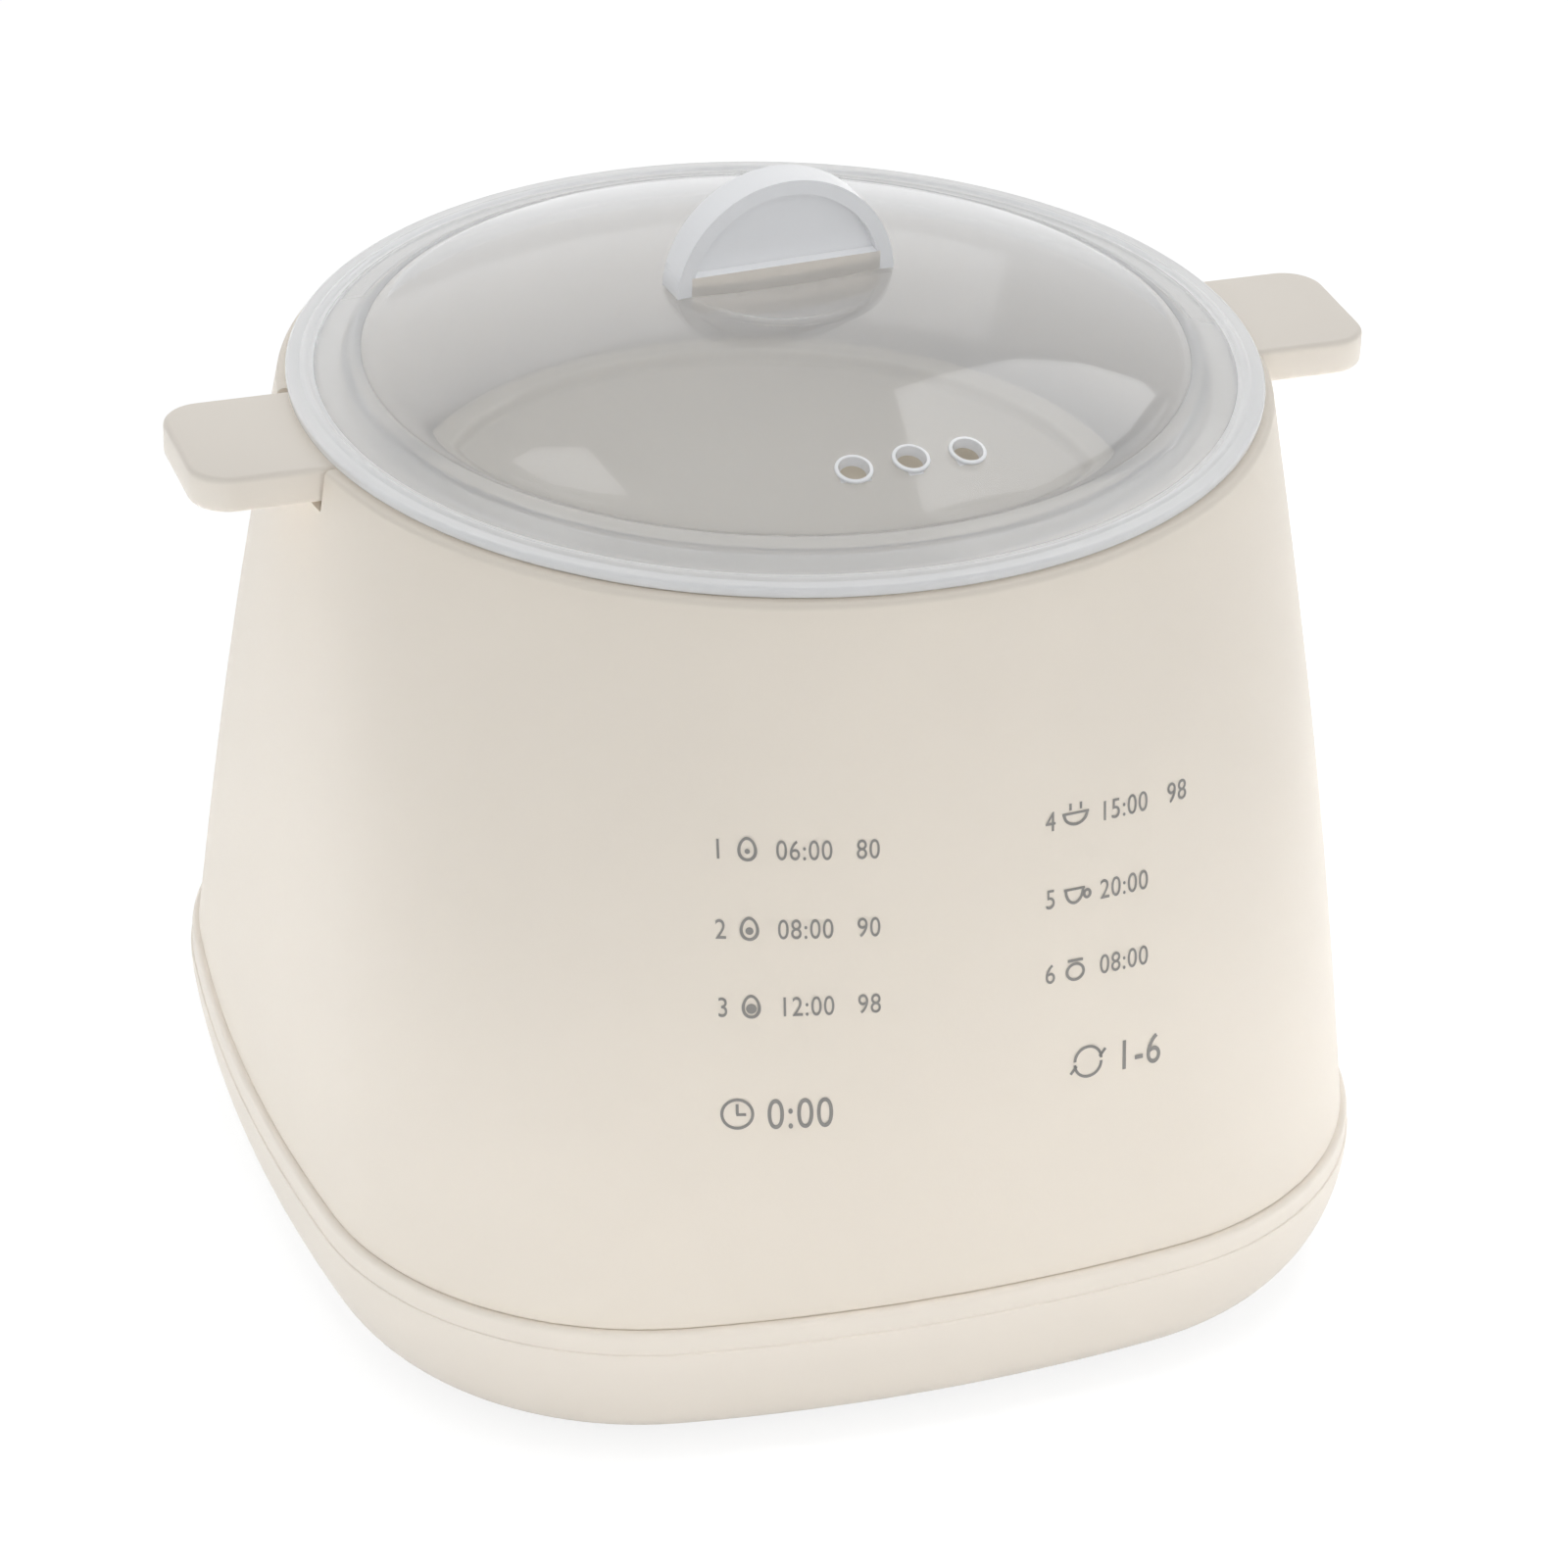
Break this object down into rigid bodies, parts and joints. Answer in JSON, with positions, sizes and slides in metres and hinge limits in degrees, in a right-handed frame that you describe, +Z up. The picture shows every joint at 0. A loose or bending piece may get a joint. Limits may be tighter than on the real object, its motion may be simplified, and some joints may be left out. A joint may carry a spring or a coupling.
{
  "type": "egg cooker",
  "caption": "Electric egg cooker: soft rounded-square cream housing with a round rim, lift-out steam basket with two ears, stored bowl and a clear lid with a half-disc grip.",
  "frame": {"origin": "under the middle of the four feet, on the surface it stands on", "axes": "+Z up, front with the printed marks towards -Y, basket ears along X"},
  "size_m": [0.196, 0.1894, 0.1782],
  "materials": {
    "cream_shell": "fine satin",
    "cream_base": "fine satin",
    "cream_basket": "fine satin",
    "cream_bowl": "satin",
    "clear_lid": "clear, glossy",
    "pan_metal": "brushed",
    "seal_silicone": "soft, translucent white",
    "foot_rubber": "matte",
    "screw_steel": "zinc plated",
    "plate_aluminium": "cast",
    "element_steel": "dull",
    "shield_steel": "galvanised",
    "sensor_metal": "plain",
    "fuse_metal": "plain",
    "board_green": "solder resist",
    "component_black": "matte",
    "component_white": "matte",
    "component_yellow": "taped",
    "contact_copper": "bare copper",
    "contact_brass": "plated",
    "inlet_black": "matte",
    "lead_sleeve": "fibreglass sleeve"
  },
  "bodies": {
    "housing": {"outer_shell": "cream_shell", "base_shell": "cream_base", "foot_front_left": "foot_rubber", "foot_front_right": "foot_rubber", "foot_rear_left": "foot_rubber", "foot_rear_right": "foot_rubber", "base_screws": "screw_steel", "pot": "pan_metal", "pot_seal": "seal_silicone", "heat_plate": "plate_aluminium", "heating_element": "element_steel", "heat_shield": "shield_steel", "shield_screws": "screw_steel", "temperature_sensor": "sensor_metal", "thermal_fuse": "fuse_metal", "fuse_clip": "shield_steel", "power_board": "board_green", "board_screws": "screw_steel", "transformer": "component_yellow", "relay": "component_black", "capacitors": "component_black", "terminal_block": "component_white", "control_board": "board_green", "control_screws": "screw_steel", "led_display": "component_white", "touch_pads": "contact_copper", "buzzer": "component_black", "inlet_socket": "inlet_black", "inlet_pins": "contact_brass", "inlet_screws": "screw_steel", "mains_leads": "lead_sleeve", "heater_leads": "lead_sleeve", "ribbon_cable": "component_white"},
    "basket": {"steam_basket": "cream_basket"},
    "bowl": {"custard_bowl": "cream_bowl"},
    "lid": {"lid": "clear_lid"}
  },
  "joints": [
    {"name": "basket_lift", "type": "slide", "parent": "housing", "child": "basket", "axis": [0, 0, 1], "range_m": [0, 0.09]},
    {"name": "bowl_lift", "type": "slide", "parent": "basket", "child": "bowl", "axis": [0, 0, 1], "range_m": [0, 0.08]},
    {"name": "lid_lift", "type": "slide", "parent": "bowl", "child": "lid", "axis": [0, 0, 1], "range_m": [0, 0.06]}
  ]
}
